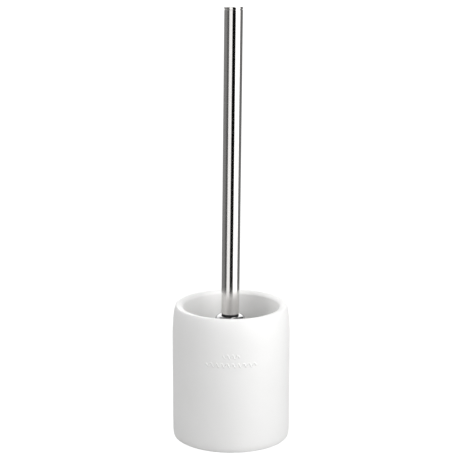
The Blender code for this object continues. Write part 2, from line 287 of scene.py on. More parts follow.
def relief(along, up):
    """Height of the raised lines: on each, a sine wave fades in and out along its length, and the
    height falls from its crest to the wall as a squared cosine of the distance from that wave."""
    height = np.zeros_like(along)
    for rise, half_length, swing, wavelength in WAVES:
        fade = np.clip((half_length - np.abs(along)) / WAVE_FADE, 0, 1)
        middle = RELIEF_MIDDLE + rise + swing * fade * np.sin(2 * np.pi * along / wavelength)
        slope = 2 * np.pi * swing / wavelength * np.cos(2 * np.pi * along / wavelength)
        away = np.abs(up - middle) / np.sqrt(1 + slope**2)
        crest = np.cos(np.clip(away / RELIEF_STROKE, 0, 1) * np.pi / 2) ** 2
        height = np.maximum(height, RELIEF_HEIGHT * crest * np.clip(fade * 3, 0, 1))
    return height


def pot_surface(outline, turns):
    """The outline turned about Z; the relief swells the front and each pocket lifts the underside."""
    across, up = outline[:, :1], outline[:, 1:]
    along = (turns[None, :] + np.pi / 2 + np.pi) % (2 * np.pi) - np.pi  # the angle from the front
    wall = np.abs(across - pot_radius) < 0.01 * MM
    radius = across + np.where(wall, relief(along * pot_radius, up + 0 * along), 0)
    x, y = radius * np.cos(turns), radius * np.sin(turns)
    centres = pad_ring * np.stack([np.cos(pad_turns), np.sin(pad_turns)], 1)
    away = np.min(np.hypot(x[..., None] - centres[:, 0], y[..., None] - centres[:, 1]), axis=-1)
    mouth = PAD_RADIUS + SEAM + POCKET_EDGE
    sunk = np.clip((mouth - away) / POCKET_EDGE, 0, 1)
    depth = PAD_THICKNESS + SEAM - pot_low.z
    under = np.abs(up - pot_low.z) < 1e-6
    z = up + np.where(under, depth * sunk * sunk * (3 - 2 * sunk), 0)
    return np.stack([x, y, z + 0 * x], -1)


pot_grid = pot_surface(pot_outline(), pot_turns())
pot_poles = np.array([[0, 0, pot_grid[0, 0, 2]], [0, 0, pot_grid[-1, 0, 2]]])
pot_mesh = skin("pot", pot_grid, pot_poles)

glaze = finish("matt_glaze", GLAZE, 0.5)
tinted(glaze, grain(glaze, 26.0, 3.0), shade(GLAZE, 0.985), shade(GLAZE, 1.01))
glossed(glaze, grain(glaze, 140.0, 4.0), GLAZE_ROUGHNESS)
bumped(glaze, (grain(glaze, 55.0, 2.0), 0.06 * MM), (grain(glaze, 900.0, 3.0), 0.012 * MM))

pot = shown("pot", pot_mesh, glaze)
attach(pot, "holder")
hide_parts("holder_pot")

# ---------------------------------------------------------------------------------------------
# The pads. Four round silicone pads, pressed out of sheet with a soft lower edge and fine
# rings that grip the floor, each glued into its pocket under the pot.
# ---------------------------------------------------------------------------------------------
PAD_EDGE = 0.5 * MM
PAD_GROOVE = 0.12 * MM
PAD_GROOVE_PITCH = 1.2 * MM
PAD_CENTRE = 0.3 * MM  # where its two faces close in to its axis
PAD_COLOUR = (0.60, 0.60, 0.585)
PAD_TINTS = ((0.57, 0.57, 0.555), (0.63, 0.63, 0.615))
PAD_SIDES = 96


def pad_rings(centre):
    """A pad's rings: a rounded disc whose underside is grooved by a cosine of the radius."""
    under = np.linspace(PAD_CENTRE, PAD_RADIUS - PAD_EDGE, 40)
    brim = PAD_EDGE / 4
    groove = PAD_GROOVE * (1 - np.cos(2 * np.pi * under / PAD_GROOVE_PITCH)) / 2
    outline = chain(
        np.stack([under, groove * (under < PAD_RADIUS - 2 * PAD_EDGE)], 1),
        arc((PAD_RADIUS - PAD_EDGE, PAD_EDGE), (PAD_EDGE, PAD_EDGE), -90, 0, 8),
        np.linspace((PAD_RADIUS, PAD_EDGE), (PAD_RADIUS, PAD_THICKNESS - brim), 3),
        arc((PAD_RADIUS - brim, PAD_THICKNESS - brim), (brim, brim), 0, 90, 4),
        np.linspace((PAD_RADIUS - brim, PAD_THICKNESS), (PAD_CENTRE, PAD_THICKNESS), 4),
    )
    turns = np.linspace(0, 2 * np.pi, PAD_SIDES, endpoint=False)
    x = centre[0] + outline[:, :1] * np.cos(turns)
    y = centre[1] + outline[:, :1] * np.sin(turns)
    return np.stack([x, y, outline[:, 1:] + 0 * x], -1)


silicone = finish("pad_silicone", PAD_COLOUR, 0.5)
tinted(silicone, grain(silicone, 300.0, 2.0), *PAD_TINTS)
bumped(silicone, (grain(silicone, 2500.0, 2.0), 0.02 * MM))

for number in range(1, 5):
    low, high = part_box(f"foot_pad_{number}")
    middle = (low + high) / 2
    rings = pad_rings(middle)
    poles = np.array([[middle.x, middle.y, rings[0, 0, 2]], [middle.x, middle.y, rings[-1, 0, 2]]])
    pad = shown(f"pad_{number}", skin(f"pad_{number}", rings, poles), silicone)
    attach(pad, "holder")
    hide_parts(f"foot_pad_{number}")

# ---------------------------------------------------------------------------------------------
# The brush core. One moulding of white plastic: a round nose, a straight barrel drilled for
# the tufts, and a boss with a threaded socket that goes up into the collar.
# ---------------------------------------------------------------------------------------------
CORE_EDGE = 0.5 * MM
BOSS_RADIUS = 11.5 * MM
BOSS_ROUND = 3.0 * MM
BOSS_BASE = 7.4 * MM  # below the boss's top
SOCKET_POCKET = (7.2 * MM, 1.7 * MM)  # the counterbore's radius and depth
SOCKET_RADIUS = 6.3 * MM
THREAD_PITCH = 3.0 * MM
THREAD_TURNS = 4
THREAD_DEPTH = 1.2 * MM
THREAD_ROOT = 4.8 * MM
THREAD_LEAD = 1.3 * MM  # the plain end of the socket below its thread
DIMPLE = (2.0 * MM, 1.6 * MM, 0.5 * MM)  # a tuft hole's radius, its depth and its edge's width
BURR = 0.16 * MM  # the rim that the punch raises round each hole
BURR_PLACE = (1.6, 0.6)  # its distance from the hole and its width, over the width of the edge
POCKET_LAND = 0.5 * MM  # from the counterbore's floor down to the thread
CORE_COLOUR = (0.83, 0.83, 0.815)
CORE_TINTS = ((0.81, 0.81, 0.79), (0.845, 0.845, 0.83))
CORE_SIDES = 220
NEAR_AXIS = 0.4 * MM  # the radius at which a section that closes on the axis ends
AXIS_HOLE = 0.5 * MM  # an outline that starts nearer the axis than this is closed on it

unscrew = next(joint for joint in frame["joints"] if joint["name"] == "handle_unscrew")
brush_foot = np.array(unscrew["pos_m"], float)
brush_up = np.array(unscrew["axis"], float)
brush_up /= np.linalg.norm(brush_up)
brush_lean = math.asin(brush_up[0])
brush_frame = np.stack([np.cross((0, 1, 0), brush_up), (0, 1, 0), brush_up])


def on_brush(points):
    """Points given up the brush's own axis from its foot, put where the brush stands."""
    return points @ brush_frame + brush_foot


def solid_points(node):
    """A CAD node's different corners, in the brush's own frame."""
    data = frame["nodes"][node].data
    points = np.zeros(len(data.vertices) * 3, np.float32)
    data.vertices.foreach_get("co", points)
    own = (points.reshape(-1, 3).astype(float) - brush_foot) @ brush_frame.T
    return np.unique(np.round(own, 6), axis=0)


def reach_of(node):
    """A CAD node's lowest and highest place up the brush's axis, and its radius about it."""
    own = solid_points(node)
    return own[:, 2].min(), own[:, 2].max(), np.hypot(own[:, 0], own[:, 1]).max()


def turned(name, outline, sides, swell=None):
    """An outline turned about the brush's axis, closed on the axis if its ends are there.

    An outline that starts near the axis is closed by a pole at each end's height, and any
    other outline joins its last point to its first. Swell adds to each point's radius.
    """
    turns = np.linspace(0, 2 * np.pi, sides, endpoint=False)
    radius = outline[:, :1] + 0 * turns
    if swell is not None:
        radius = radius + swell(outline[:, 1:], turns)
    up = outline[:, 1:] + 0 * turns
    rings = on_brush(np.stack([radius * np.cos(turns), radius * np.sin(turns), up], -1))
    if outline[0, 0] > AXIS_HOLE:
        return skin(name, rings)
    poles = on_brush(np.array([[0, 0, outline[0, 1]], [0, 0, outline[-1, 1]]]))
    return skin(name, rings, poles)


HELD_ROW = 0.06 * MM  # from a straight stretch's end to the row that keeps its shading flat


def held(start, end, count):
    """A straight stretch of an outline: even steps, and one more row close inside each end."""
    start, end = np.array(start, float), np.array(end, float)
    close = min(HELD_ROW / np.linalg.norm(end - start), 0.3 / count)
    share = np.linspace(0, 1, count)
    share = np.concatenate([[0, close], share[1:-1], [1 - close, 1]])
    return start + share[:, None] * (end - start)


core_low, core_high, core_radius = reach_of("brush_core")
core_shoulder = core_high - BOSS_BASE
nose_centre = core_low + core_radius
thread_top = core_high - SOCKET_POCKET[1] - POCKET_LAND
thread_bottom = thread_top - THREAD_TURNS * THREAD_PITCH


def helix(up, turns):
    """A right-hand screw's wave, from 0 in its groove to 1 on its crest: the cosine of the height
    over the pitch less the angle, shifted and halved."""
    return (1 + np.cos(2 * np.pi * up / THREAD_PITCH - turns)) / 2


def core_outline():
    """The core from its nose up to the boss, over it and down its threaded socket."""
    pocket = core_high - SOCKET_POCKET[1]
    ease = (BOSS_RADIUS - BOSS_ROUND, core_high - BOSS_ROUND)
    end = thread_bottom - THREAD_LEAD
    soft = 0.25 * MM
    return chain(
        arc((0, nose_centre), (core_radius, core_radius), -89, 0, 56),
        held((core_radius, nose_centre), (core_radius, core_shoulder - CORE_EDGE), 150),
        arc((core_radius - CORE_EDGE, core_shoulder - CORE_EDGE), (CORE_EDGE, CORE_EDGE), 0, 90, 6),
        held((core_radius - CORE_EDGE, core_shoulder), (BOSS_RADIUS, core_shoulder), 3),
        held((BOSS_RADIUS, core_shoulder), (BOSS_RADIUS, core_high - BOSS_ROUND), 6),
        arc(ease, (BOSS_ROUND, BOSS_ROUND), 0, 90, 14),
        held((ease[0], core_high), (SOCKET_POCKET[0] + soft, core_high), 3),
        arc((SOCKET_POCKET[0] + soft, core_high - soft), (soft, soft), 90, 180, 5),
        held((SOCKET_POCKET[0], core_high - soft), (SOCKET_POCKET[0], pocket), 3),
        held((SOCKET_POCKET[0], pocket), (SOCKET_RADIUS, pocket), 3),
        held((SOCKET_RADIUS, pocket), (SOCKET_RADIUS, thread_top), 3),
        np.linspace((THREAD_ROOT + SEAM, thread_top), (THREAD_ROOT + SEAM, thread_bottom), 80),
        np.linspace((THREAD_ROOT + SEAM, thread_bottom), (THREAD_ROOT + SEAM, end), 4),
        np.linspace((THREAD_ROOT + SEAM, end), (NEAR_AXIS, end), 4),
    )


def thread_cut(outline, turns):
    """The socket thread's extra radius on the rows that lie in the threaded bore."""
    bore = np.abs(outline[:, :1] - THREAD_ROOT - SEAM) < SAME_POINT
    up = outline[:, 1:]
    fade = np.clip((up - thread_bottom) / (THREAD_PITCH / 2), 0, 1)
    return np.where(bore, THREAD_DEPTH * fade * helix(up, turns), 0)


def tuft_line(node):
    """A tuft's axis in the brush's frame, from its CAD solid: (a point on it, its direction).

    The solid is round about its axis, so the middle of its corners lies on the axis, and the
    corner farthest from the brush's spine is the middle of its tips.
    """
    own = solid_points(node)
    spine = np.stack([0 * own[:, 0], 0 * own[:, 0], np.maximum(own[:, 2], nose_centre)], 1)
    tip = own[np.argmax(np.linalg.norm(own - spine, axis=1))]
    middle = own.mean(0)
    direction = (tip - middle) / np.linalg.norm(tip - middle)
    side = np.linalg.norm(np.cross(own - middle, direction), axis=1).max()
    root = ((own - middle) @ direction).min()
    return middle + direction * root, direction, tip, side


tuft_names = sorted(name for name in frame["nodes"] if name.startswith("tuft_"))
tufts = {name: tuft_line(name) for name in tuft_names}


def drilled(points):
    """Sink a hole's mouth where each tuft leaves the core, and raise a fine rim round it.

    The depth falls from the hole's full depth to nothing as a smooth step of the distance from
    the tuft's axis, and the rim is a narrow bell just outside it.
    """
    radius, depth, edge = DIMPLE
    moved = points.copy()
    for start, direction, _, _ in tufts.values():
        offset = points - start
        ahead = offset @ direction
        away = np.linalg.norm(offset - ahead[..., None] * direction, axis=-1)
        sunk = np.clip((radius + edge - away) / edge, 0, 1)
        sunk = sunk * sunk * (3 - 2 * sunk)
        rim = np.exp(-(((away - radius - BURR_PLACE[0] * edge) / (BURR_PLACE[1] * edge)) ** 2))
        here = (ahead > 0) & (ahead < 2 * core_radius)
        moved += (here * (BURR * rim - depth * sunk))[..., None] * direction
    return moved


outline = core_outline()
turns = np.linspace(0, 2 * np.pi, CORE_SIDES, endpoint=False)
radius = outline[:, :1] + thread_cut(outline, turns)
up = outline[:, 1:] + 0 * radius
core_rings = np.stack([radius * np.cos(turns), radius * np.sin(turns), up], -1)
outer_rows = outline[:, 0] > BOSS_RADIUS
outer_rows[: len(outline) // 4] = True  # the nose, whose first rows are near the axis
core_rings[outer_rows] = drilled(core_rings[outer_rows])
core_poles = np.array([[0, 0, core_rings[0, :, 2].mean()], [0, 0, outline[-1, 1]]])
core_mesh = skin("core", on_brush(core_rings), on_brush(core_poles))

moulded = finish("moulded_core", CORE_COLOUR, 0.38)
tinted(moulded, grain(moulded, 60.0, 2.0), *CORE_TINTS)
bumped(moulded, (grain(moulded, 1500.0, 3.0), 0.015 * MM))

core = shown("core", core_mesh, moulded)
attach(core, "head")
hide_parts("brush_core")

# ---------------------------------------------------------------------------------------------
# The bristles. Fifty tufts of white nylon filament, each folded in half and punched into its
# hole in the core. They leave the hole tight and straight, flare, and are all trimmed
# together to one round-bottomed outline.
# ---------------------------------------------------------------------------------------------
FILAMENTS = 180
FILAMENT_RADIUS = 0.17 * MM
FILAMENT_SIDES = 4
FILAMENT_STEPS = 8
TUFT_ROOT = 1.75 * MM
TUFT_SPREAD = (1.75, 1.42)  # of the solid's radius: round the brush, and along it
NECK = 0.6 * MM  # how far past the core's surface a filament stays straight
SCATTER = (0.035, 0.45 * MM)  # how unevenly the filaments stand, as a share of the root, and lean
FLARE = (0.45, 0.55)  # the shares of a filament's bend that grow evenly, and as the square
CRIMP = 0.28 * MM
CRIMP_WAVES = 1.4  # in a filament's length
CROWDING = 0.6  # a half spreads the filaments evenly, and more than that crowds a tuft's middle
TRIM_SLACK = 0.5 * MM  # how unevenly the filaments are cut
TRIM_POWER = 3.0
# The two tints run from a darker root colour to a paler tip colour. This is painted shade where the
# filaments crowd against the core, laid over a random tone from noise.
BRISTLE_TONES_AND_PAINTED_SHADE = ((0.87, 0.865, 0.845), (0.945, 0.945, 0.935))
ROOT_TO_TIP_PAINTED_SHADE = 0.35  # painted shade: how much of the tint's run a filament makes from its darker root to its paler tip
GOLDEN_TURN = math.pi * (3 - math.sqrt(5))

trim_radius = max(np.hypot(tip[0], tip[1]) for _, _, tip, _ in tufts.values())
trim_drop = nose_centre - min(tip[2] for _, _, tip, _ in tufts.values())


def trimmed(spring, toward):
    """Where a line from the spine meets the trimmed outline.

    The outline is a cylinder above the nose's centre, and below it a rounded bottom on which
    the powers of the radius and of the drop, each over its own reach, add up to one.
    """
    across = np.hypot(toward[:, 0], toward[:, 1]) / trim_radius
    from_nose = spring[2] <= nose_centre
    down = from_nose * np.maximum(-toward[:, 2], 0) / trim_drop
    return 1 / (across**TRIM_POWER + down**TRIM_POWER) ** (1 / TRIM_POWER)


def tuft_paths(start, direction, tip, side_reach, chance):
    """The middle lines of a tuft's filaments, as (filament, step, xyz) in the brush's frame.

    Filaments stand in the hole on a sunflower's spiral. Each runs straight to the core's
    surface and then bends outward with a power of its length, with a slight wave of its own.
    """
    spring = np.array([0, 0, max(nose_centre, start[2])])
    sideways = np.cross((0, 0, 1), direction)
    if np.linalg.norm(sideways) < 0.1:
        sideways = np.array([1.0, 0, 0])
    sideways /= np.linalg.norm(sideways)
    rise = np.cross(direction, sideways)
    order = np.arange(FILAMENTS)
    share = ((order + 0.5) / FILAMENTS) ** CROWDING
    angle = order * GOLDEN_TURN
    spots = np.stack([share * np.cos(angle), share * np.sin(angle)], 1)
    spots += chance.normal(0, SCATTER[0], spots.shape)
    spread = side_reach * np.array(TUFT_SPREAD)
    roots = start + TUFT_ROOT * (spots[:, :1] * sideways + spots[:, 1:] * rise)
    neck = core_radius - np.linalg.norm(start - spring) + NECK
    reach = np.linalg.norm(tip - spring)
    lean = spots * spread + chance.normal(0, SCATTER[1], spots.shape)
    toward = reach * direction + lean[:, :1] * sideways + lean[:, 1:] * rise
    cut = trimmed(spring, toward) * (1 - chance.uniform(0, TRIM_SLACK, FILAMENTS) / reach)
    tips = spring + toward * cut[:, None]
    necks = roots + neck * direction
    t = np.linspace(0, 1, FILAMENT_STEPS)[None, :, None]
    ahead = ((tips - necks) @ direction)[:, None] * direction
    outward = tips - necks - ahead
    flare = necks[:, None] + t * ahead[:, None] + (FLARE[0] * t + FLARE[1] * t**2) * outward[:, None]
    phase = chance.uniform(0, 2 * np.pi, (FILAMENTS, 1, 1))
    heading = chance.uniform(0, 2 * np.pi, FILAMENTS)
    swing = np.cos(heading)[:, None] * sideways + np.sin(heading)[:, None] * rise
    wave = t * (1 - t**4) * np.sin(2 * np.pi * CRIMP_WAVES * t + phase)
    flare += CRIMP * wave * swing[:, None]
    return np.concatenate([roots[:, None], flare], 1)


def filament_mesh(name, paths):
    """Round rods along many paths at once: a ring across each point of each path, square to the
    way the path runs there, quads between the rings and a flat end at the tip and the root."""
    count, steps = paths.shape[:2]
    way = np.gradient(paths, axis=1)
    way /= np.linalg.norm(way, axis=-1, keepdims=True)
    helper = np.where(np.abs(way[..., 2:]) < 0.8, [0.0, 0.0, 1.0], [1.0, 0.0, 0.0])
    first = np.cross(way, helper)
    first /= np.linalg.norm(first, axis=-1, keepdims=True)
    second = np.cross(way, first)
    turn = np.linspace(0, 2 * np.pi, FILAMENT_SIDES, endpoint=False)
    ring = np.cos(turn)[:, None] * first[:, :, None] + np.sin(turn)[:, None] * second[:, :, None]
    points = paths[:, :, None] + FILAMENT_RADIUS * ring
    index = np.arange(count * steps * FILAMENT_SIDES).reshape(count, steps, FILAMENT_SIDES)
    after = np.roll(index, -1, axis=2)
    sides = np.stack([index[:, :-1], after[:, :-1], after[:, 1:], index[:, 1:]], -1).reshape(-1, 4)
    quads = np.concatenate([sides, index[:, 0, ::-1], index[:, -1]])
    mesh = filled(name, on_brush(points.reshape(-1, 3)), quads, np.zeros((0, 3), int))
    # each point's share of its filament's length from root to tip, which the material turns into
    # painted shade at the roots
    along = np.broadcast_to(np.linspace(0, 1, steps)[None, :, None], index.shape)
    shade = mesh.attributes.new("along", "FLOAT", "POINT")
    shade.data.foreach_set("value", along.astype(np.float32).ravel())
    return mesh


nylon = finish("bristle_nylon", BRISTLE_TONES_AND_PAINTED_SHADE[1], 0.42)
along = nylon.node_tree.nodes.new("ShaderNodeAttribute")
along.attribute_name = "along"
strand = grain(nylon, 700.0, 1.0)
# the tint runs from root to tip as painted shade, darker at the root and paler at the tip, plus
# random noise
painted_shade_and_strand = nylon.node_tree.nodes.new("ShaderNodeMath")
painted_shade_and_strand.operation = "MULTIPLY_ADD"
painted_shade_and_strand.inputs[1].default_value = ROOT_TO_TIP_PAINTED_SHADE
wire(nylon, along.outputs["Fac"], painted_shade_and_strand.inputs[0])
wire(nylon, strand, painted_shade_and_strand.inputs[2])
tinted(nylon, painted_shade_and_strand.outputs["Value"], *BRISTLE_TONES_AND_PAINTED_SHADE)

for number, name in enumerate(tuft_names, start=1):
    chance = np.random.default_rng(number)
    paths = tuft_paths(*tufts[name], chance)
    bristles = shown(f"bristles_{number:02d}", filament_mesh(f"bristles_{number:02d}", paths), nylon)
    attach(bristles, "head")
    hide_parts(name)

# ---------------------------------------------------------------------------------------------
# The collar. A deep-drawn brass dome, chromed and polished, that hides the joint: its skirt
# covers the core's boss, and its flat web is held on the plug by a snap bead.
# ---------------------------------------------------------------------------------------------
COLLAR_WALL = 1.2 * MM
COLLAR_WEB = 2.0 * MM
COLLAR_ROUND = 4.5 * MM
COLLAR_HOLE = 6.3 * MM
COLLAR_SOFT = 0.25 * MM
COLLAR_SIDES = 192
CHROME = (0.41, 0.412, 0.415)
CHROME_ROUGHNESS = (0.035, 0.075)

collar_low, collar_high, collar_radius = reach_of("collar")


def collar_outline():
    """The dome's section, from the skirt's outer edge up over the web and back down inside."""
    soft = COLLAR_SOFT
    ceiling = collar_high - COLLAR_WEB
    inner = COLLAR_ROUND - COLLAR_WALL
    bore = collar_radius - COLLAR_WALL
    top_round = (collar_radius - COLLAR_ROUND, collar_high - COLLAR_ROUND)
    return chain(
        arc((collar_radius - soft, collar_low + soft), (soft, soft), -90, 0, 5),
        held((collar_radius, collar_low + soft), (collar_radius, top_round[1]), 10),
        arc(top_round, (COLLAR_ROUND, COLLAR_ROUND), 0, 90, 36),
        held((top_round[0], collar_high), (COLLAR_HOLE + soft, collar_high), 4),
        arc((COLLAR_HOLE + soft, collar_high - soft), (soft, soft), 90, 180, 5),
        held((COLLAR_HOLE, collar_high - soft), (COLLAR_HOLE, ceiling), 3),
        arc((bore - inner, ceiling - inner), (inner, inner), 90, 0, 14),
        held((bore, ceiling - inner), (bore, collar_low + soft), 4),
        arc((bore + soft, collar_low + soft), (soft, soft), 180, 270, 5),
    )


chrome = finish("polished_chrome", CHROME, 0.05, 1.0)
glossed(chrome, grain(chrome, 220.0, 3.0), CHROME_ROUGHNESS)
tinted(chrome, grain(chrome, 45.0, 2.0), shade(CHROME, 0.97), CHROME)

collar = shown("collar_dome", turned("collar_dome", collar_outline(), COLLAR_SIDES), chrome)
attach(collar, "collar")
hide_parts("collar")

# ---------------------------------------------------------------------------------------------
# The plug. A black nylon moulding pressed into the foot of the tube. Its ring shows between tube
# and collar, its spigot goes through the collar to the snap bead that keeps it, and the coarse
# round thread is below.
# ---------------------------------------------------------------------------------------------
STEM_RADIUS = 6.65 * MM
SPIGOT_RADIUS = 6.0 * MM
PLUG_LENGTH = 22.0 * MM
BEAD = (6.7 * MM, 1.2 * MM)  # the bead's radius and height
RING_HEIGHT = 0.9 * MM
RING_INSET = 0.3 * MM  # from the tube's outside in to the ring
RING_SOFT = 0.12 * MM
PLUG_SOFT = 0.5 * MM
PLUG_NOSE = 1.0 * MM  # the plain end below the thread
PLUG_COLOUR = (0.030, 0.030, 0.032)
PLUG_SIDES = 128

tube_low, tube_high, tube_radius = reach_of("handle_tube")
bead_top = core_high


def plug_outline():
    """The plug's section, from the nose of its thread up to the end of its stem."""
    nose = thread_bottom - PLUG_NOSE
    bead_bottom = bead_top - BEAD[1]
    top = tube_low + PLUG_LENGTH
    soft = PLUG_SOFT
    bead = (BEAD[0] - THREAD_ROOT, BEAD[1] / 2)
    ring = tube_radius - RING_INSET
    ring_top = tube_low - SEAM
    ring_bottom = ring_top - RING_HEIGHT
    fine = RING_SOFT
    return chain(
        [(NEAR_AXIS, nose)],
        np.linspace((THREAD_ROOT - soft, nose), (THREAD_ROOT, nose + soft), 5),
        np.linspace((THREAD_ROOT, nose + soft), (THREAD_ROOT, thread_top), 90),
        np.linspace((THREAD_ROOT, thread_top), (THREAD_ROOT, bead_bottom), 3),
        arc((THREAD_ROOT, bead_bottom + bead[1]), bead, -80, 80, 12),
        held((SPIGOT_RADIUS, bead_top + SEAM / 2), (SPIGOT_RADIUS, ring_bottom), 5),
        held((SPIGOT_RADIUS, ring_bottom), (ring - fine, ring_bottom), 3),
        arc((ring - fine, ring_bottom + fine), (fine, fine), -90, 0, 4),
        held((ring, ring_bottom + fine), (ring, ring_top - fine), 3),
        arc((ring - fine, ring_top - fine), (fine, fine), 0, 90, 4),
        held((ring - fine, ring_top), (STEM_RADIUS, ring_top), 3),
        held((STEM_RADIUS, ring_top), (STEM_RADIUS, top - soft), 12),
        arc((STEM_RADIUS - soft, top - soft), (soft, soft), 0, 90, 5),
        [(NEAR_AXIS, top)],
    )


def plug_thread(up, turns):
    """The thread's swell: a screw's wave that grows from nothing and runs out again."""
    lead = THREAD_PITCH / 2
    fade = np.clip(np.minimum(up - thread_bottom, thread_top - up) / lead, 0, 1)
    return THREAD_DEPTH * fade * helix(up, turns)


plastic = finish("plug_nylon", PLUG_COLOUR, 0.42)
tinted(plastic, grain(plastic, 90.0, 2.0), shade(PLUG_COLOUR, 0.85), shade(PLUG_COLOUR, 1.2))
bumped(plastic, (grain(plastic, 1800.0, 3.0), 0.012 * MM))

plug = shown("plug", turned("plug", plug_outline(), PLUG_SIDES, plug_thread), plastic)
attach(plug, "handle")
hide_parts("handle_plug")

# ---------------------------------------------------------------------------------------------
# The handle tube. Drawn stainless steel tube, belt-polished as it turned, so that very fine
# lines run round it. It is slipped over the plug and closed at the top by the cap.
# ---------------------------------------------------------------------------------------------
TUBE_WALL = 0.7 * MM
TUBE_SOFT = 0.15 * MM
TUBE_SIDES = 192
STEEL = (0.78, 0.765, 0.75)
STEEL_ROUGHNESS = (0.13, 0.16)
STEEL_SPREAD = 0.9  # how far the polishing lines draw a highlight out along the axis
LINE_STRETCH = (30.0, 30.0, 5000.0)
LINE_DEPTH = 0.0004 * MM

tube_bore = tube_radius - TUBE_WALL


def tube_outline():
    """The tube's wall with its four edges eased, round from the outer foot to the inner foot."""
    soft = TUBE_SOFT
    ease = (soft, soft)
    return chain(
        arc((tube_radius - soft, tube_low + soft), ease, -90, 0, 5),
        held((tube_radius, tube_low + soft), (tube_radius, tube_high - soft), 120),
        arc((tube_radius - soft, tube_high - soft), ease, 0, 90, 5),
        arc((tube_bore + soft, tube_high - soft), ease, 90, 180, 5),
        held((tube_bore, tube_high - soft), (tube_bore, tube_low + soft), 24),
        arc((tube_bore + soft, tube_low + soft), ease, 180, 270, 5),
    )


def belt_polished(material):
    """Polishing lines that run round the piece: noise drawn out across its axis, in the gloss and
    the bump, and highlights that spread along the axis as such fine lines make them."""
    lines = grain(material, 1.0, 3.0, LINE_STRETCH, -brush_lean)
    glossed(material, lines, STEEL_ROUGHNESS)
    bumped(material, (lines, LINE_DEPTH))
    tangent = material.node_tree.nodes.new("ShaderNodeTangent")
    tangent.direction_type = "UV_MAP"
    tangent.uv_map = "along_axis"
    wire(material, tangent.outputs["Tangent"], shader_of(material).inputs["Tangent"])
    shader_of(material).inputs["Anisotropic"].default_value = STEEL_SPREAD


def axis_map(mesh, rows, columns, poles=False):
    """A UV map on a skin: U runs up the outline's rows and V round the turn.

    Without poles the last row of quads joins the first ring, and with them the corners of each
    end's fan come after the quads.
    """
    row, column = np.divmod(np.arange((rows - poles) * columns), columns)
    u = np.stack([row, row, row + 1, row + 1], 1).ravel()
    v = np.stack([column, column + 1, column + 1, column], 1).ravel()
    if poles:
        turn = np.arange(columns)
        first, last = np.tile([-1, 0, 0], columns), np.tile([rows, rows - 1, rows - 1], columns)
        u = np.concatenate([u, first, last])
        v = np.concatenate([
            v,
            np.stack([turn + 0.5, turn + 1, turn], 1).ravel(),
            np.stack([turn + 0.5, turn, turn + 1], 1).ravel(),
        ])
    layer = mesh.uv_layers.new(name="along_axis")
    layer.data.foreach_set("uv", np.stack([u / rows, v / columns], -1).astype(np.float32).ravel())


steel = finish("polished_steel", STEEL, 0.25, 1.0)
belt_polished(steel)
tinted(steel, grain(steel, 18.0, 2.0), shade(STEEL, 0.97), STEEL)

tube_mesh = turned("tube", tube_outline(), TUBE_SIDES)
axis_map(tube_mesh, len(tube_outline()), TUBE_SIDES)
tube = shown("tube", tube_mesh, steel)
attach(tube, "handle")
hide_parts("handle_tube")

# ---------------------------------------------------------------------------------------------
# The end cap. A turned disc of the same steel with an eased edge, pressed into the tube's top
# by its stem and polished with it.
# ---------------------------------------------------------------------------------------------
CAP_STEM_RADIUS = 6.65 * MM
CAP_EDGE = 0.9 * MM
CAP_SOFT = 0.2 * MM
CAP_SIDES = 192

cap_low, cap_high, cap_radius = reach_of("handle_end_cap")


def cap_outline():
    """The cap's section, from the foot of its stem out to its rim and in over its flat top."""
    foot = tube_high + SEAM
    soft = CAP_SOFT
    return chain(
        [(NEAR_AXIS, cap_low)],
        arc((CAP_STEM_RADIUS - soft, cap_low + soft), (soft, soft), -90, 0, 4),
        held((CAP_STEM_RADIUS, cap_low + soft), (CAP_STEM_RADIUS, foot), 6),
        held((CAP_STEM_RADIUS, foot), (cap_radius - soft, foot), 3),
        arc((cap_radius - soft, foot + soft), (soft, soft), -90, 0, 5),
        held((cap_radius, foot + soft), (cap_radius, cap_high - CAP_EDGE), 4),
        arc((cap_radius - CAP_EDGE, cap_high - CAP_EDGE), (CAP_EDGE, CAP_EDGE), 0, 90, 16),
        held((cap_radius - CAP_EDGE, cap_high), (NEAR_AXIS, cap_high), 12),
    )


cap_mesh = turned("cap", cap_outline(), CAP_SIDES)
axis_map(cap_mesh, len(cap_outline()), CAP_SIDES, poles=True)
cap = shown("cap", cap_mesh, steel)
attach(cap, "handle")
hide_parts("handle_end_cap")

# ---------------------------------------------------------------------------------------------
# The studio. A white table top and backdrop, and light panels all round at three heights: one to
# the left of the front and a taller one to its right, a black gap between them, and weaker ones
# at the sides and behind.
# ---------------------------------------------------------------------------------------------
TABLE_RADIUS = 0.30
TABLE_WHITE = 0.35
BACKDROP_LEVEL = 1.1
CAMERA_RISE = math.radians(13.2)
CAMERA_AWAY = 1.3
CAMERA_LENS = 122.44
CAMERA_SENSOR = 36.0
CAMERA_AIM = (-3.1 * MM, -0.96 * MM)  # aside and up from the middle of the object's box
SURROUND_LEVEL = 4.9
SURROUND = (  # degrees to the right of the front, and the brightness below eye level, low and high
    (-180, 0.200, 0.44, 0.10),
    (-158, 0.200, 0.44, 0.10),
    (-152, 0.046, 0.40, 0.10),
    (-112, 0.052, 0.24, 0.10),
    (-108, 0.048, 0.20, 0.03),
    (-84, 0.046, 0.20, 0.03),
    (-76, 0.018, 0.20, 0.03),
    (-54, 0.016, 0.20, 0.03),
    (-48, 0.215, 0.60, 0.03),
    (-15, 0.237, 0.60, 0.03),
    (-9, 0.000, 0.00, 0.03),
    (27, 0.000, 0.00, 0.03),
    (32, 0.326, 0.59, 0.57),
    (90, 0.343, 0.59, 0.57),
    (97, 0.037, 0.03, 0.03),
    (148, 0.037, 0.03, 0.03),
    (154, 0.037, 0.36, 0.10),
    (172, 0.037, 0.44, 0.10),
    (177, 0.200, 0.44, 0.10),
    (180, 0.200, 0.44, 0.10),
)
HORIZON = (-0.04, 0.30)  # the sines of the heights between which below gives way to low
CEILING = (0.5, 0.75)  # and low gives way to high

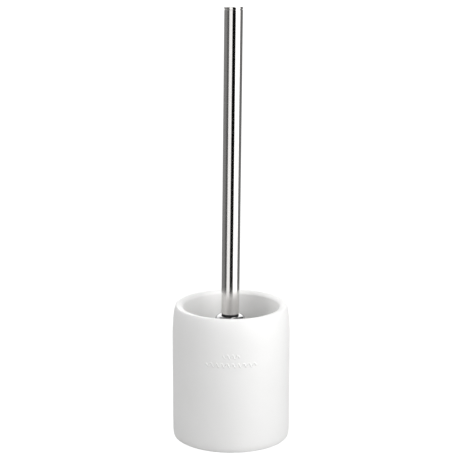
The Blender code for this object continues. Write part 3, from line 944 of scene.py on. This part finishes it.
table_turns = np.linspace(0, 2 * np.pi, 96, endpoint=False)
table_rim = np.stack([np.cos(table_turns), np.sin(table_turns), 0 * table_turns], 1) * TABLE_RADIUS
table_points = np.concatenate([table_rim, [[0, 0, 0]]])
table_edge = np.arange(len(table_turns))
table_middle = np.full(len(table_edge), len(table_edge))
table_fan = np.stack([table_edge, np.roll(table_edge, -1), table_middle], 1)
table_mesh = filled("table", table_points, np.zeros((0, 4), int), table_fan)
paper = finish("white_paper", (TABLE_WHITE,) * 3, 0.9)
glow = paper.node_tree.nodes.new("ShaderNodeEmission")
glow.inputs["Strength"].default_value = BACKDROP_LEVEL
lit = paper.node_tree.nodes.new("ShaderNodeMixShader")
direct = paper.node_tree.nodes.new("ShaderNodeLightPath")
wire(paper, direct.outputs["Is Camera Ray"], lit.inputs["Fac"])
wire(paper, shader_of(paper).outputs["BSDF"], lit.inputs[1])
wire(paper, glow.outputs["Emission"], lit.inputs[2])
wire(paper, lit.outputs["Shader"], paper.node_tree.nodes["Material Output"].inputs["Surface"])
table = shown("table", table_mesh, paper)
table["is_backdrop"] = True

world = bpy.data.worlds.new("studio")
bpy.context.scene.world = world
world.use_nodes = True
nodes, links = world.node_tree.nodes, world.node_tree.links
background = nodes["Background"]
toward = nodes.new("ShaderNodeTexCoord")
split = nodes.new("ShaderNodeSeparateXYZ")
links.new(toward.outputs["Generated"], split.inputs["Vector"])
front = nodes.new("ShaderNodeMath")
front.operation = "MULTIPLY"
front.inputs[1].default_value = -1.0
links.new(split.outputs["Y"], front.inputs[0])
heading = nodes.new("ShaderNodeMath")
heading.operation = "ARCTAN2"
links.new(split.outputs["X"], heading.inputs[0])
links.new(front.outputs["Value"], heading.inputs[1])
share = nodes.new("ShaderNodeMapRange")
share.inputs["From Min"].default_value = -math.pi
share.inputs["From Max"].default_value = math.pi
links.new(heading.outputs["Value"], share.inputs["Value"])


def panel_ramp(level_column):
    """A ramp round the horizon from the surround's list, at one of its three heights."""
    ramp = nodes.new("ShaderNodeValToRGB")
    stops = ramp.color_ramp.elements
    stops.remove(stops[-1])
    for place, row in enumerate(SURROUND):
        position = row[0] / 360 + 0.5
        stop = stops[0] if place == 0 else stops.new(position)
        stop.position = position
        stop.color = (row[level_column],) * 3 + (1.0,)
    links.new(share.outputs["Result"], ramp.inputs["Fac"])
    return ramp.outputs["Color"]


def by_height(edges, lower, upper):
    """Mix two colours by the height that a direction points at, between two edges."""
    rise = nodes.new("ShaderNodeMapRange")
    rise.interpolation_type = "SMOOTHSTEP"
    rise.inputs["From Min"].default_value, rise.inputs["From Max"].default_value = edges
    links.new(split.outputs["Z"], rise.inputs["Value"])
    mix = nodes.new("ShaderNodeMixRGB")
    links.new(rise.outputs["Result"], mix.inputs["Fac"])
    links.new(lower, mix.inputs["Color1"])
    links.new(upper, mix.inputs["Color2"])
    return mix.outputs["Color"]


room = by_height(HORIZON, panel_ramp(1), panel_ramp(2))
room = by_height(CEILING, room, panel_ramp(3))
seen = nodes.new("ShaderNodeLightPath")
surround = nodes.new("ShaderNodeBackground")
surround.inputs["Strength"].default_value = SURROUND_LEVEL
links.new(room, surround.inputs["Color"])
background.inputs["Color"].default_value = (1.0, 1.0, 1.0, 1.0)
background.inputs["Strength"].default_value = BACKDROP_LEVEL
choose = nodes.new("ShaderNodeMixShader")
links.new(seen.outputs["Is Camera Ray"], choose.inputs["Fac"])
links.new(surround.outputs["Background"], choose.inputs[1])
links.new(background.outputs["Background"], choose.inputs[2])
links.new(choose.outputs["Shader"], nodes["World Output"].inputs["Surface"])

scene = bpy.context.scene
scene.view_settings.view_transform = "Standard"
camera = bpy.data.objects.new("camera", bpy.data.cameras.new("camera"))
scene.collection.objects.link(camera)
camera.data.lens = CAMERA_LENS
camera.data.sensor_width = CAMERA_SENSOR
box_middle = (cad_low + cad_high) / 2
aim = (box_middle.x + CAMERA_AIM[0], 0.0, box_middle.z + CAMERA_AIM[1])
camera.location = (
    aim[0],
    aim[1] - CAMERA_AWAY * math.cos(CAMERA_RISE),
    aim[2] + CAMERA_AWAY * math.sin(CAMERA_RISE),
)
camera.rotation_euler = (math.pi / 2 - CAMERA_RISE, 0.0, 0.0)
scene.camera = camera

low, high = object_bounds()
